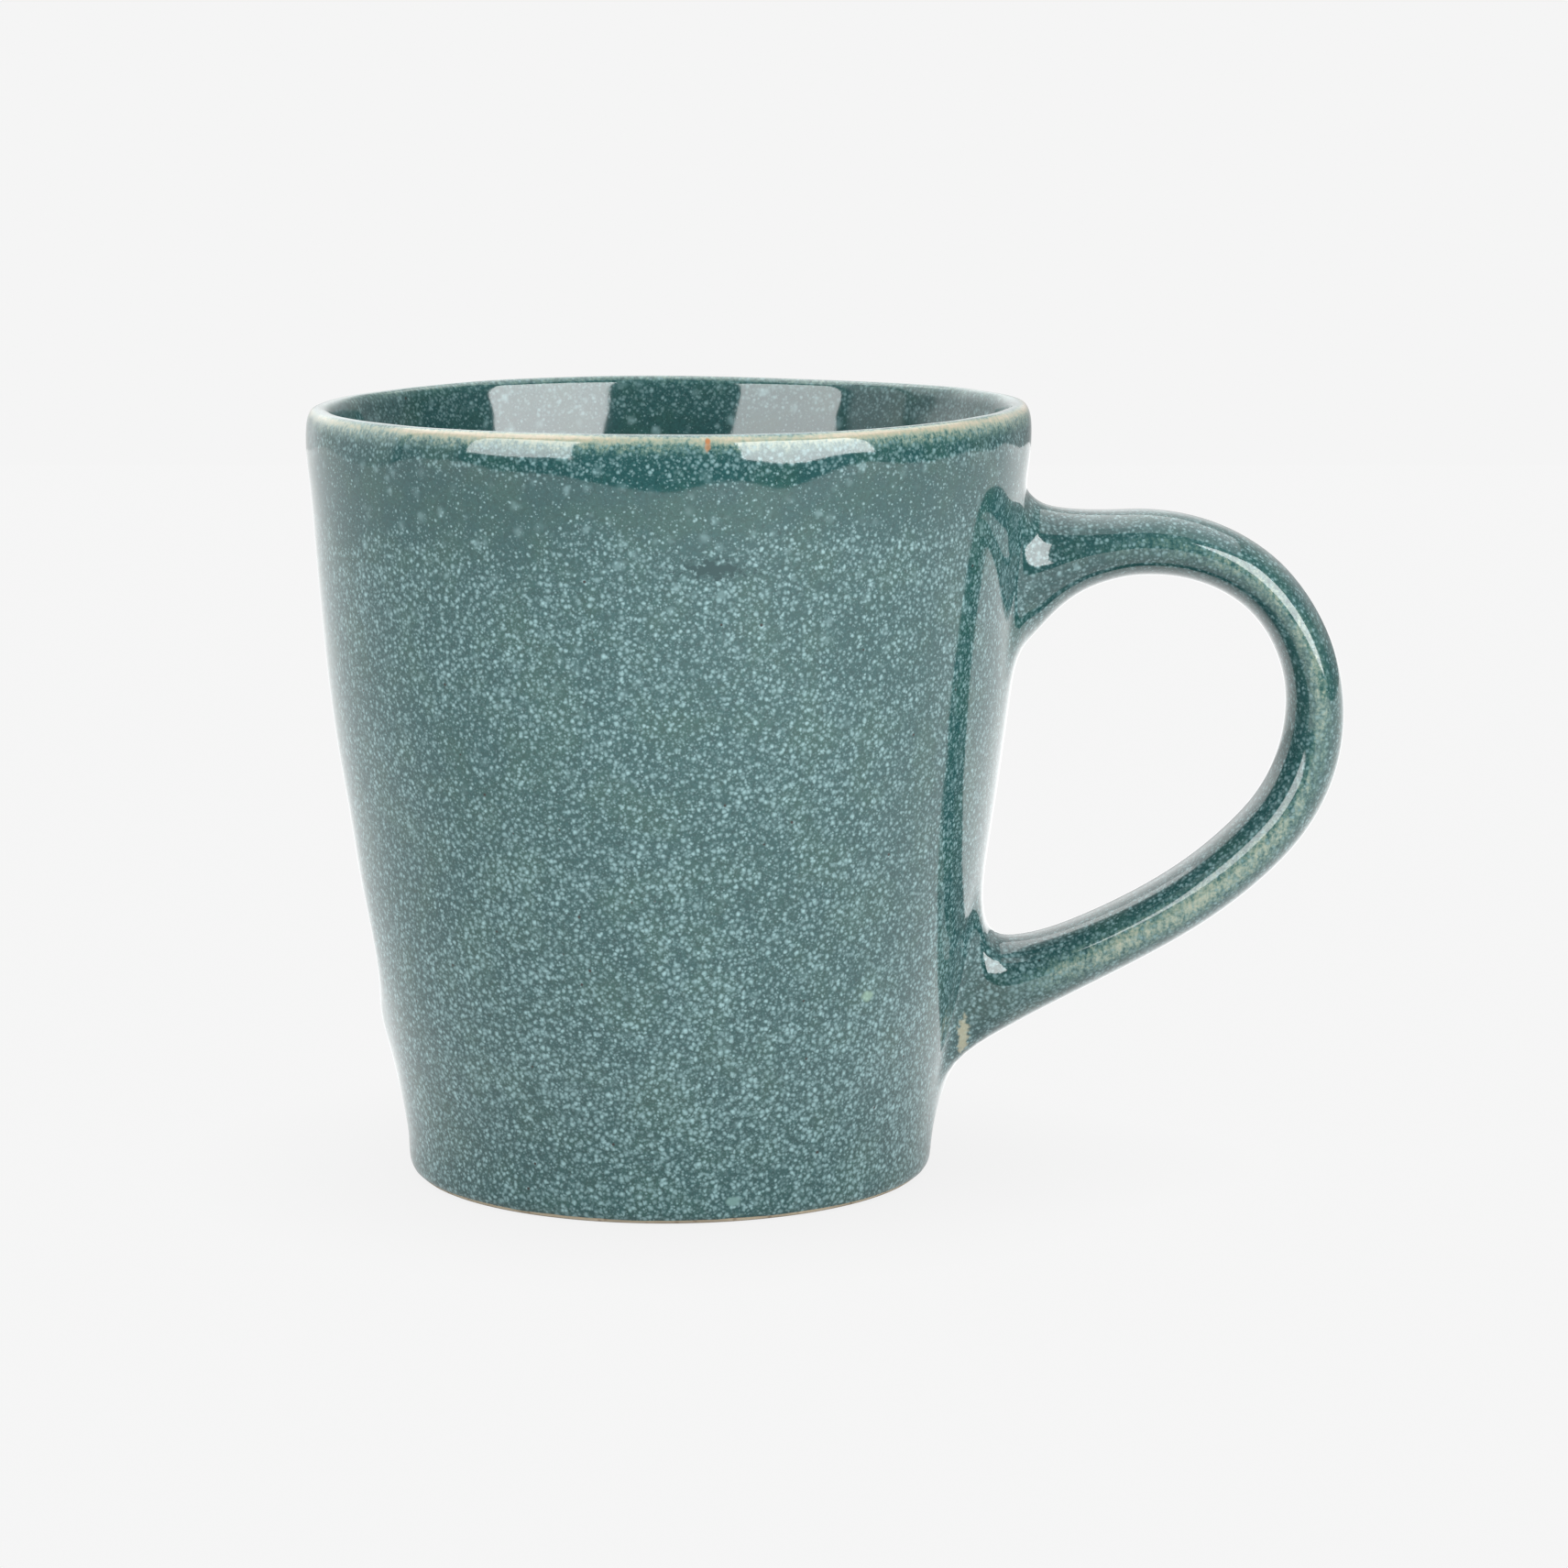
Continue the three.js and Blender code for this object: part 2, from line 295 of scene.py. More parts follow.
def close_middle(shell, height, radius):
    """Draws the small ring at this height in to one point."""
    axis = Vector((cup_x / MM, 0, 0))
    pick_edges(shell, lambda place: abs(place.z - height) < 0.01 and (place - axis).xy.length < radius)
    bpy.ops.mesh.extrude_region_move(TRANSFORM_OT_translate={"value": (0, 0, 0)})
    bpy.ops.mesh.merge(type="CENTER")
    bpy.ops.object.mode_set(mode="OBJECT")


def smooth_over(shell, levels):
    """Subdivides the cage and shades it smooth, with every face turned outwards."""
    bpy.ops.object.select_all(action="DESELECT")
    bpy.context.view_layer.objects.active = shell
    shell.select_set(True)
    bpy.ops.object.mode_set(mode="EDIT")
    bpy.ops.mesh.select_all(action="SELECT")
    bpy.ops.mesh.remove_doubles(threshold=0.001 * MM)
    bpy.ops.mesh.normals_make_consistent(inside=False)
    bpy.ops.object.mode_set(mode="OBJECT")
    bpy.ops.object.modifier_add(type="SUBSURF")
    subdivision = shell.modifiers[-1]
    subdivision.levels = subdivision.render_levels = levels
    bpy.ops.object.modifier_apply(modifier=subdivision.name)
    bpy.ops.object.shade_smooth()


# Dents and swellings that a thumb left: turn in degrees, height, push outwards and spread.
thumb_marks = [(180, 27.5, -1.9, 5.5), (178, 46, -0.3, 8), (184, 20.5, 0.6, 5), (176, 7, -1.15, 5.5),
               (0, 58, 0.35, 9), (0, 42, 0.7, 14), (0, 17, 0.5, 4), (0, 10.5, 0.35, 4),
               (0, 3.5, -0.95, 3.5), (0, 90, 0.3, 12), (250, 70, -0.22, 12), (292, 52, 0.18, 12),
               (60, 44, -0.25, 11), (120, 66, 0.2, 12)]
arc_radius = 40
waver_size, waver_height = 0.42, 23
ripple_size, ripple_height = 0.055, 9
lip_ripple, lip_ripple_from, lip_ripple_to = 0.4, 86, 92
rim_tilt = 0.14
rim_wave = 0.32
rim_lift_from, rim_lift_to = 60, 90
# The waver fades out at the foot, at the cup's axis and along the handle.
still_foot, foot_fade = 0.8, 4
axis_fade = 15
handle_fade_from, handle_fade = 0.5, 9


def rolling(out, fineness, level):
    """A smooth random amount from -1 to 1 for a direction out from the axis and a level."""
    return noise.noise(Vector((fineness * out.x, fineness * out.y, level)))


def hand_waver(place):
    """How far the potter's hand moved a point off the true shape, in millimetres."""
    across = Vector((place.x - cup_x / MM, place.y, 0))
    turn = math.atan2(across.y, across.x)
    out = across.normalized()
    off_wall = max(0, across.length - outside_at(place.z) - handle_fade_from)
    hold = max(0, 1 - off_wall / handle_fade) ** 2 * min(1, max(place.z - still_foot, 0) / foot_fade)
    hold *= min(1, across.length / axis_fade)
    push = waver_size * rolling(out, 1.7, place.z / waver_height + 4)
    push += ripple_size * rolling(out, 5, place.z / ripple_height + 30)
    lip_share = min(max((place.z - lip_ripple_from) / (lip_ripple_to - lip_ripple_from), 0), 1)
    push += lip_ripple * lip_share * rolling(out, 4.5, 57)
    for mark_turn, mark_height, mark_push, mark_spread in thumb_marks:
        away = (turn - math.radians(mark_turn) + math.pi) % math.tau - math.pi
        gap = math.hypot(away * arc_radius, place.z - mark_height)
        push += mark_push * math.exp(-(gap / mark_spread) ** 2)
    lift = rim_tilt * out.x + rim_wave * rolling(out, 1.1, 9)
    high = min(1, max(place.z - rim_lift_from, 0) / (rim_lift_to - rim_lift_from)) ** 2
    return hold * (out * push + Vector((0, 0, lift * high)))


def shape_by_hand(shell):
    for vertex in shell.data.vertices:
        vertex.co += hand_waver(vertex.co / MM) * MM


foot_inside, foot_outside = 26.3, 31.1
clay_columns = 96
clay_wall_heights = (3, 6, 12, 20, 30, 40, 50, 60, 68, 76, 84, 89)
clay_rings = [(2, recess_depth), (12, recess_depth), (24.2, recess_depth), (25.4, recess_depth - 0.4),
              (foot_inside - 0.2, 0.35), (foot_inside + 0.3, 0), (foot_outside - 0.5, 0),
              (foot_outside + 0.1, 0.1), (foot_outside + 0.35, 0.4), (foot_outside + 0.35, 1.4)]
clay_rings += [(outside_at(max(height, heel_height)) - clay_skin, height) for height in clay_wall_heights]
clay_rings += lip_rings(clay_skin, 1.05)
clay_rings += inside_rings(clay_skin, (86, 80, 70, 60, 50, 40, 30, 22))
clay_body = stack_rings("clay_body", clay_rings, clay_columns)
close_middle(clay_body, recess_depth, 3)
close_middle(clay_body, floor_height - clay_skin, 3)
smooth_over(clay_body, 1)
shape_by_hand(clay_body)


def mix_colors(tree, factor, below, above, blend="MIX"):
    """The colour above laid over the colour below, as far as the factor says."""
    node = tree.nodes.new("ShaderNodeMix")
    node.data_type = "RGBA"
    node.blend_type = blend
    for index, value in ((0, factor), (6, below), (7, above)):
        if isinstance(value, bpy.types.NodeSocket):
            tree.links.new(value, node.inputs[index])
        else:
            node.inputs[index].default_value = value
    return node.outputs[2]


def clay_grain():
    """Shader group: grog specks and a faint mottle in bare fired clay."""
    group = bpy.data.node_groups.new("clay_grain", "ShaderNodeTree")
    for name, kind in (("Coordinates", "NodeSocketVector"), ("Clay", "NodeSocketColor"),
                       ("Grog", "NodeSocketColor")):
        group.interface.new_socket(name, in_out="INPUT", socket_type=kind)
    for name, kind in (("Color", "NodeSocketColor"), ("Roughness", "NodeSocketFloat"),
                       ("Height", "NodeSocketFloat")):
        group.interface.new_socket(name, in_out="OUTPUT", socket_type=kind)
    given = add_node(group, "NodeGroupInput").outputs
    place = given["Coordinates"]
    mottle = add_node(group, "ShaderNodeTexNoise", {
        "Vector": place, "Scale": 220, "Detail": 4, "Roughness": 0.6}).outputs["Fac"]
    specks = add_node(group, "ShaderNodeTexVoronoi", {"Vector": place, "Scale": 900}).outputs["Distance"]
    grit = add_node(group, "ShaderNodeTexNoise", {
        "Vector": place, "Scale": 2600, "Detail": 3, "Roughness": 0.7}).outputs["Fac"]
    shade = rescale(group, mottle, 0.3, 0.7, 0.78, 1.12)
    toned = mix_colors(group, 1.0, given["Clay"], shade, "MULTIPLY")
    speck_cover = calculate(group, "MULTIPLY", rescale(group, specks, 0.12, 0.3, 1, 0), 0.6)
    speckled = mix_colors(group, speck_cover, toned, given["Grog"])
    add_node(group, "NodeGroupOutput", {
        "Color": speckled, "Roughness": rescale(group, grit, 0, 1, 0.72, 0.95), "Height": grit})
    return group


grain_group = clay_grain()


# Dark brown for the painted contact shade along the foot's lower edge, where it meets the table.
foot_contact_shade = (0.05, 0.035, 0.02)


def clay_material(name, clay, grog):
    """Bare fired clay, matte and gritty, with painted contact shade darkening a thin line just above the
    table.
    """
    material = bpy.data.materials.new(name)
    material.use_nodes = True
    tree = material.node_tree
    shader = tree.nodes["Principled BSDF"]
    place = add_node(tree, "ShaderNodeTexCoord").outputs["Object"]
    grain = add_node(tree, "ShaderNodeGroup", node_tree=grain_group)
    tree.links.new(place, grain.inputs["Coordinates"])
    grain.inputs["Clay"].default_value = (*clay, 1)
    grain.inputs["Grog"].default_value = (*grog, 1)
    bump = add_node(tree, "ShaderNodeBump", {
        "Height": grain.outputs["Height"], "Strength": 0.4, "Distance": 0.05 * MM})
    height = add_node(tree, "ShaderNodeSeparateXYZ", {"Vector": place}).outputs["Z"]
    # Painted shade: the clay is darkened in a band from about 0.01 to 0.3 mm above the table, darkest from
    # 0.05 to 0.12 mm, as a contact shadow; the underside keeps its own colour.
    contact_shade_mask = rescale(tree, height, 0.3 * MM, 0.12 * MM, 0.0, 0.75)
    contact_shade_mask = calculate(tree, "MULTIPLY", contact_shade_mask, rescale(tree, height, 0.01 * MM, 0.05 * MM))
    color = mix_colors(tree, contact_shade_mask, grain.outputs["Color"], (*foot_contact_shade, 1))
    tree.links.new(color, shader.inputs["Base Color"])
    tree.links.new(grain.outputs["Roughness"], shader.inputs["Roughness"])
    tree.links.new(bump.outputs["Normal"], shader.inputs["Normal"])
    return material


body_clay = clay_material("tan_stoneware", (0.33, 0.28, 0.20), (0.15, 0.10, 0.06))
clay_body.data.materials.append(body_clay)
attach(clay_body, "root")
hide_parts("cup_body")

# ---- clay handle and its slip -------------------------------------------------------------------
# The handle is a pulled strap of the same clay, oval in section, that swells into both roots and is
# luted to the wall with two pads of slip. All of it lies under the glaze.

handle_tip = 82.3
tip_half_thickness = 3.75
upper_axis_height = 77.1
bend_radius = 21
bend_steps = 12
lower_root_height = 21
strap_half_width = 6.5
root_half_width = 8.5
strap_sides = 14
strap_swell = 1.034
strap_turn = 135
sink_in_wall = 8
root_reach, root_wrap = 14, 6
upper_root_stations, lower_root_stations = 5, 7
flat_stack_foot, flat_stack_step = 100, 3
# How far the finished strap reaches outwards and inwards of its middle line, station by station.
strap_reaches = [(5.9, 11.8), (4.6, 10.1), (4.15, 7.5), (3.95, 5.3), (4.0, 4.1),
                 (4.1, 3.9), (4.05, 3.7), (4.05, 3.4), (4.1, 3.05), (4.05, 2.8), (3.85, 2.8), (3.8, 2.95),
                 (3.75, 3.1), (3.75, 3.4), (3.85, 3.6), (3.85, 3.7), (3.85, 3.7), (4.0, 3.6),
                 (4.1, 3.4), (4.0, 3.5), (3.8, 3.75), (3.9, 3.9), (4.35, 3.95), (5.1, 4.4),
                 (6.1, 5.6), (7.3, 7.4)]


def strap_path():
    """The middle line of the handle as (place, heading) stations, from the upper root round to the
    lower one, with x measured from the cup's axis."""
    centre = Vector((handle_tip - tip_half_thickness - bend_radius, 0, upper_axis_height - bend_radius))
    start = Vector((outside_at(upper_axis_height), 0, upper_axis_height))
    arm = centre.x - start.x
    stations = [(start + Vector((step, 0, 0)), Vector((1, 0, 0))) for step in (1, 2.6, 5, 8.2, arm - 2.5)]
    stretch = 6 / (4 + 2 * math.cos(math.radians(strap_turn / bend_steps)))
    for step in range(bend_steps + 1):
        turn = math.radians(90 - strap_turn * step / bend_steps)
        out = Vector((math.cos(turn), 0, math.sin(turn)))
        reach = bend_radius * (stretch if 0 < step < bend_steps else (1 + stretch) / 2)
        stations.append((centre + out * reach, Vector((out.z, 0, -out.x))))
    bend_end = centre + Vector((1, 0, -1)).normalized() * bend_radius
    root = Vector((outside_at(lower_root_height) - sink_in_wall, 0, lower_root_height))
    elbow = bend_end + Vector((-1, 0, -1)).normalized() * (bend_end - root).length / 2
    for share in (0.12, 0.25, 0.38, 0.5, 0.6, 0.69, 0.76, 0.815):
        place = bend_end * (1 - share) ** 2 + elbow * 2 * share * (1 - share) + root * share ** 2
        heading = (elbow - bend_end) * (1 - share) + (root - elbow) * share
        stations.append((place, heading.normalized()))
    return stations


def build_strap(name, depth, left_out):
    """A straight stack of rings, bent on to the handle's path, this deep under its finished face. The
    last stations may be left out, so that the lower root is free to flare."""
    stations = strap_path()
    stations = stations[:len(stations) - left_out]
    last = len(stations) - 1
    flat_stack = [(10, flat_stack_foot + flat_stack_step * index) for index in range(last + 1)]
    strap = stack_rings(name, flat_stack, strap_sides)
    for vertex in strap.data.vertices:
        index = round((vertex.co.z / MM - flat_stack_foot) / flat_stack_step)
        around = math.atan2(vertex.co.y, vertex.co.x - cup_x)
        place, heading = stations[index]
        outward, inward = (reach - depth for reach in strap_reaches[index])
        off_wall = place.x - outside_at(place.z)
        by_root = index < upper_root_stations or index > last - lower_root_stations
        widening = max(0, 1 - off_wall / root_reach) ** 3 if by_root else 0
        sideways = strap_half_width + (root_half_width - strap_half_width) * widening - depth
        upright = Vector((-heading.z, 0, heading.x))
        rise = (outward - inward) / 2 + math.sin(around) * strap_swell * (outward + inward) / 2
        spot = place + upright * rise + Vector((0, math.cos(around) * strap_swell * sideways, 0))
        wrap = max(0, 1 - off_wall / root_wrap) if by_root else 0
        spot.x -= wrap * spot.y ** 2 / (2 * outside_at(place.z))
        vertex.co = spot * MM + Vector((cup_x, 0, 0))
    return strap


handle_clay = build_strap("handle_clay", clay_skin, 0)
end_rim, end_cap = 1.4, 0.6
for end_low, end_high in ((60, 90), (8, 34)):
    pick_edges(handle_clay, lambda place: (
        end_low < place.z < end_high and place.x - cup_x / MM < outside_at(place.z) + end_rim))
    bpy.ops.mesh.extrude_region_move(TRANSFORM_OT_translate={"value": (-end_cap * MM, 0, 0)})
    bpy.ops.transform.resize(value=(1, 0.97, 0.97))
    bpy.ops.mesh.edge_face_add()
    bpy.ops.object.mode_set(mode="OBJECT")
smooth_over(handle_clay, 2)
handle_clay.data.materials.append(body_clay)
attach(handle_clay, "root")
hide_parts("handle")

joint_slip = clay_material("joining_slip", (0.44, 0.29, 0.17), (0.2, 0.12, 0.07))
for pad in ("upper_joint_slip", "lower_joint_slip"):
    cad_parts[pad].data.materials.clear()
    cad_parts[pad].data.materials.append(joint_slip)

# ---- outer glaze --------------------------------------------------------------------------------
# One coat of glossy glaze runs over the wall, the lip and the handle, so the whole skin is modelled
# together: a shell of rings, a strap bridged into two holes in it, and both softened as one.

skin_columns = 64
glaze_coat = 0.5
upper_hole, lower_hole = (63.2, 84), (13.6, 34.0)
hole_half_width = 8
upper_seam, lower_seam = (60, 88), (8, 37)
skin_rings = [(31.75, 0.62), (32.1, 1.1), (32.35, 2.4), (32.5, 4.6), (33.1, 8.4)]
skin_rings += [(outside_at(height), height) for height in (
    13.6, 18.9, 25.6, 34.0, 41.0, 47.5, 54.5, 63.2, 70.0, 76.8, 84)]
skin_rings += [(43.58, 86.6), (43.73, 88.4), (43.78, 90), (43.73, 91.4), (43.6, 92.5), (43.3, 93.35),
               (42.86, 93.88), (42.1, 94.1), (41.35, 93.85), (40.95, 93.1), (40.75, 92.1), (40.5, 90.8)]
skin_rings += inside_rings(0, (89, 87.2, 85.4, 78, 68, 58, 48, 38, 28, 21))
glaze_skin = stack_rings("glaze_skin", skin_rings, skin_columns)
close_middle(glaze_skin, floor_height, 3)


def cut_root_hole(shell, low, high):
    """Takes out the faces where one end of the strap joins the wall."""
    bpy.ops.object.mode_set(mode="OBJECT")
    for face in shell.data.polygons:
        middle = face.center / MM
        face.select = (low < middle.z < high and abs(middle.y) < hole_half_width
                       and middle.x > cup_x / MM + outside_at(middle.z) - 2)
    for part in (*shell.data.edges, *shell.data.vertices):
        part.select = False
    bpy.ops.object.mode_set(mode="EDIT")
    bpy.ops.mesh.select_mode(type="FACE")
    bpy.ops.mesh.delete(type="FACE")
    bpy.ops.object.mode_set(mode="OBJECT")


cut_root_hole(glaze_skin, *upper_hole)
cut_root_hole(glaze_skin, *lower_hole)
strap = build_strap("strap", 0, 1)
bpy.ops.object.select_all(action="DESELECT")
strap.select_set(True)
glaze_skin.select_set(True)
bpy.context.view_layer.objects.active = glaze_skin
bpy.ops.object.join()


def bridge_root(shell, low, high):
    """Joins the strap's open end to the hole it meets."""
    bpy.ops.object.mode_set(mode="EDIT")
    bpy.ops.mesh.select_mode(type="EDGE")
    bpy.ops.mesh.select_all(action="DESELECT")
    bpy.ops.mesh.select_non_manifold(extend=False, use_wire=False, use_boundary=True,
                                     use_multi_face=False, use_non_contiguous=False, use_verts=False)
    bpy.ops.object.mode_set(mode="OBJECT")
    for edge in shell.data.edges:
        ends = [shell.data.vertices[index].co / MM for index in edge.vertices]
        near = all(end.x > cup_x / MM + 25 and low < end.z < high and abs(end.y) < 12 for end in ends)
        edge.select = edge.select and near
    bpy.ops.object.mode_set(mode="EDIT")
    bpy.ops.mesh.bridge_edge_loops()
    bpy.ops.object.mode_set(mode="OBJECT")


bridge_root(glaze_skin, *upper_seam)
bridge_root(glaze_skin, *lower_seam)
smooth_over(glaze_skin, 2)
shape_by_hand(glaze_skin)

# The glaze is wiped off the foot by hand, so its lower edge wanders a little.
wander_below = 1.5
wander_out_from = 30
long_wander, short_wander = 0.12, 0.05
for vertex in glaze_skin.data.vertices:
    along = Vector((vertex.co.x - cup_x, vertex.co.y, 0)) / MM
    if vertex.co.z < wander_below * MM and along.length > wander_out_from:
        out = along.normalized()
        wander = noise.noise(out * 5) * long_wander + noise.noise(out * 17) * short_wander
        vertex.co.z += wander * MM * (wander_below - vertex.co.z / MM)

# Molten glaze draws off sharp edges, so it is thinnest on the lip and along the handle's ridges.
ridge_bend = (0.07, 0.42)
lip_bend = (0.16, 0.52)
lip_bend_from = 88
lip_thin_from, lip_thin_to = 90.5, 93.5


def ramp(value, low, high):
    """How far a value has come from low to high, from 0 to 1 with a soft start and end."""
    share = min(max((value - low) / (high - low), 0), 1)
    return share * share * (3 - 2 * share)


def store_thinness(shell):
    """Keeps at each point how thin the glaze lies, 0 where it is full and 1 where clay shows through,
    and how calm its dots are, as inside the lip and on the handle."""
    points = shell.data.vertices
    bends = [0.0] * len(points)
    counts = [0] * len(points)
    for edge in shell.data.edges:
        first, second = (points[index] for index in edge.vertices)
        span = (second.co - first.co) / MM
        for point, away in ((first, span), (second, -span)):
            bends[point.index] -= 2 * away.dot(point.normal) / away.length_squared
            counts[point.index] += 1
    bends = [bend / count for bend, count in zip(bends, counts)]
    for _ in range(2):
        sums = list(bends)
        for edge in shell.data.edges:
            first, second = edge.vertices
            sums[first] += bends[second]
            sums[second] += bends[first]
        bends = [total / (count + 1) for total, count in zip(sums, counts)]
    values, calm = [], []
    for point, bend in zip(points, bends):
        place = point.co / MM
        off_wall = math.hypot(place.x - cup_x / MM, place.y) - outside_at(place.z) - 1.5
        least, most = lip_bend if place.z > lip_bend_from else ridge_bend
        thin = min(max((bend - least) / (most - least), 0), 1)
        if off_wall > 0:
            thin *= 1.1 - 0.5 * ramp(place.z, 36, 52)
        thin *= 0.25 + 0.75 * ramp(place.z, 2, 9)
        if place.z > 90:
            outer_share = ramp(off_wall, -3.2, -2.2)
            thin *= 0.12 + 0.88 * outer_share
            thin += (0.14 + 0.28 * outer_share) * ramp(place.z, lip_thin_from, lip_thin_to)
        values.append(min(thin, 1))
        quiet = max(ramp(-off_wall, 2.6, 4.2), 0.4 * ramp(place.z, 86.5, 90.5))
        calm.append(max(quiet, 0.5 * ramp(off_wall, 0, 3)))
    for name, amounts in (("thinness", values), ("calm", calm)):
        layer = shell.data.attributes.new(name, "FLOAT", "POINT")
        layer.data.foreach_set("value", amounts)


store_thinness(glaze_skin)

split_height = 85.6


def split_off(shell, name, wanted):
    """Parts the faces whose middles pass the test into a piece of their own."""
    bpy.ops.object.mode_set(mode="OBJECT")
    for part in (*shell.data.edges, *shell.data.vertices):
        part.select = False
    for face in shell.data.polygons:
        face.select = wanted(face.center / MM)
    bpy.ops.object.mode_set(mode="EDIT")
    bpy.ops.mesh.select_mode(type="FACE")
    bpy.ops.mesh.separate(type="SELECTED")
    bpy.ops.object.mode_set(mode="OBJECT")
    piece = next(item for item in bpy.context.selected_objects if item != shell)
    piece.name = piece.data.name = name
    return piece


def is_liner(middle):
    across = Vector((middle.x - cup_x / MM, middle.y)).length
    return middle.z < split_height and across < inside_at(middle.z) + 1.2


bpy.ops.object.select_all(action="DESELECT")
glaze_skin.select_set(True)
bpy.context.view_layer.objects.active = glaze_skin
liner = split_off(glaze_skin, "liner_glaze_coat", is_liner)
glaze_skin.name = glaze_skin.data.name = "outer_glaze_coat"


def give_coat(shell, thickness):
    """Thickens the skin inwards into a real coat of glaze."""
    bpy.ops.object.select_all(action="DESELECT")
    bpy.context.view_layer.objects.active = shell
    shell.select_set(True)
    bpy.ops.object.modifier_add(type="SOLIDIFY")
    coat = shell.modifiers[-1]
    coat.thickness = thickness * MM
    coat.offset = -1
    bpy.ops.object.modifier_apply(modifier=coat.name)
    bpy.ops.object.shade_smooth_by_angle(angle=math.radians(50))


give_coat(glaze_skin, glaze_coat)
give_coat(liner, glaze_coat)


def reactive_glaze():
    """Shader group: a glossy teal glaze that breaks to green and cream where it is thin, full of pale
    blue dots with soft edges, larger faint blooms, olive patches and a few pinholes."""
    group = bpy.data.node_groups.new("reactive_glaze", "ShaderNodeTree")
    for name, kind in (("Coordinates", "NodeSocketVector"), ("Thinness", "NodeSocketFloat"),
                       ("Calm", "NodeSocketFloat"), ("Deep", "NodeSocketColor"),
                       ("Olive", "NodeSocketColor"), ("Dot", "NodeSocketColor"),
                       ("Dotting", "NodeSocketFloat")):
        group.interface.new_socket(name, in_out="INPUT", socket_type=kind)
    for name, kind in (("Color", "NodeSocketColor"), ("Roughness", "NodeSocketFloat"),
                       ("Height", "NodeSocketFloat")):
        group.interface.new_socket(name, in_out="OUTPUT", socket_type=kind)
    given = add_node(group, "NodeGroupInput").outputs
    place = given["Coordinates"]

    def math_node(*values):
        return calculate(group, *values)

    def spread(*values, smooth=False):
        return rescale(group, *values, smooth=smooth)

    def cloud(scale, detail=2.0, roughness=0.5, where=place):
        return add_node(group, "ShaderNodeTexNoise", {
            "Vector": where, "Scale": scale, "Detail": detail, "Roughness": roughness}).outputs["Fac"]

    def cells(scale, where=place):
        return add_node(group, "ShaderNodeTexVoronoi", {"Vector": where, "Scale": scale}).outputs

    height = add_node(group, "ShaderNodeSeparateXYZ", {"Vector": place}).outputs["Z"]

    def swayed(scale, size):
        """The place, pushed about a little by noise, so that round cells come out irregular."""
        push = add_node(group, "ShaderNodeTexNoise", {"Vector": place, "Scale": scale, "Detail": 1})
        push = add_node(group, "ShaderNodeVectorMath", {0: push.outputs["Color"], 1: (0.5, 0.5, 0.5)},
                        operation="SUBTRACT")
        return add_node(group, "ShaderNodeVectorMath", {0: push.outputs[0], 1: (size,) * 3, 2: place},
                        operation="MULTIPLY_ADD").outputs[0]

    def dot_layer(scale, radius, where, faintest):
        """Soft dots, one to a cell, that peak in the middle and differ in size and strength."""
        cell = cells(scale, where)
        chance = add_node(group, "ShaderNodeSeparateColor", {"Color": cell["Color"]}).outputs
        edge = math_node("MULTIPLY", spread(chance["Red"], 0, 1, 0.76, 1.24), radius)
        peak = spread(cell["Distance"], edge, 0.0, smooth=True)
        return math_node("MULTIPLY", peak, spread(chance["Green"], 0, 1, faintest, 1.0))

    def over(first, second):
        """Two layers of dots laid over each other without passing full cover."""
        return math_node("SUBTRACT", math_node("ADD", first, second), math_node("MULTIPLY", first, second))

    # Dots: how many there are drifts over the wall, with a poor belt a little under the lip.
    drift = cloud(75, 2)
    clump = cloud(350, 2)
    across = add_node(group, "ShaderNodeSeparateXYZ", {"Vector": place}).outputs["X"]
    belt_edge = math_node("MULTIPLY_ADD", drift, 0.016, height)
    belt_edge = math_node("ADD", belt_edge, spread(across, -0.03, 0.02, 0.0, -0.0035))
    belt_low = spread(belt_edge, 0.0860, 0.0925, smooth=True)
    belt_high = spread(height, 0.0880, 0.0905, smooth=True)
    belt = math_node("MULTIPLY", belt_low, math_node("SUBTRACT", 1.0, belt_high))
    crowd = math_node("ADD", spread(drift, 0.3, 0.7, -0.04, 0.04), spread(clump, 0.3, 0.7, -0.03, 0.03))
    reach = math_node("ADD", crowd, given["Dotting"])
    reach = math_node("ADD", reach, spread(height, 0.06, 0.02, 0.0, 0.065))
    reach = math_node("MULTIPLY_ADD", belt, -0.2, reach)
    reach = math_node("MULTIPLY_ADD", spread(across, 0.0255, 0.029), -0.03, reach)
    near_round = swayed(1300, 0.00035)
    dots = dot_layer(1450, math_node("MULTIPLY", reach, 1.08), near_round, 0.5)
    dots = over(dots, math_node("MULTIPLY", dot_layer(2150, reach, near_round, 0.4), 0.75))
    dots = over(dots, math_node("MULTIPLY", dot_layer(3400, reach, place, 0.2), 0.35))
    dots = math_node("MULTIPLY", dots, spread(given["Calm"], 0, 1, 1.0, 0.5))
    bloom = dot_layer(430, 0.36, swayed(900, 0.0011), 0.0)
    bloom = math_node("MULTIPLY", bloom, spread(height, 0.06, 0.078, 0.2, 0.5))

    # The ground under the dots: deep teal with olive patches and a fine mottle.
    patches = spread(cloud(160, 3, 0.6), 0.42, 0.66, smooth=True)
    mottle = spread(cloud(2600, 3, 0.65), 0.25, 0.75, 0.72, 1.28)
    ground = mix_colors(group, patches, given["Deep"], given["Olive"])
    mottle = math_node("MULTIPLY", mottle, spread(given["Calm"], 0, 1, 1.0, 0.8))
    mottle = math_node("MULTIPLY", mottle, spread(height, 0.06, 0.02, 1.0, 0.88))
    ground = mix_colors(group, 1.0, ground, mottle, "MULTIPLY")
    pale = mix_colors(group, bloom, ground, given["Dot"])
    pale = mix_colors(group, dots, pale, given["Dot"])
    pins = spread(cells(250)["Distance"], 0.055, 0.035)
    pale = mix_colors(group, pins, pale, (0.01, 0.012, 0.01, 1))

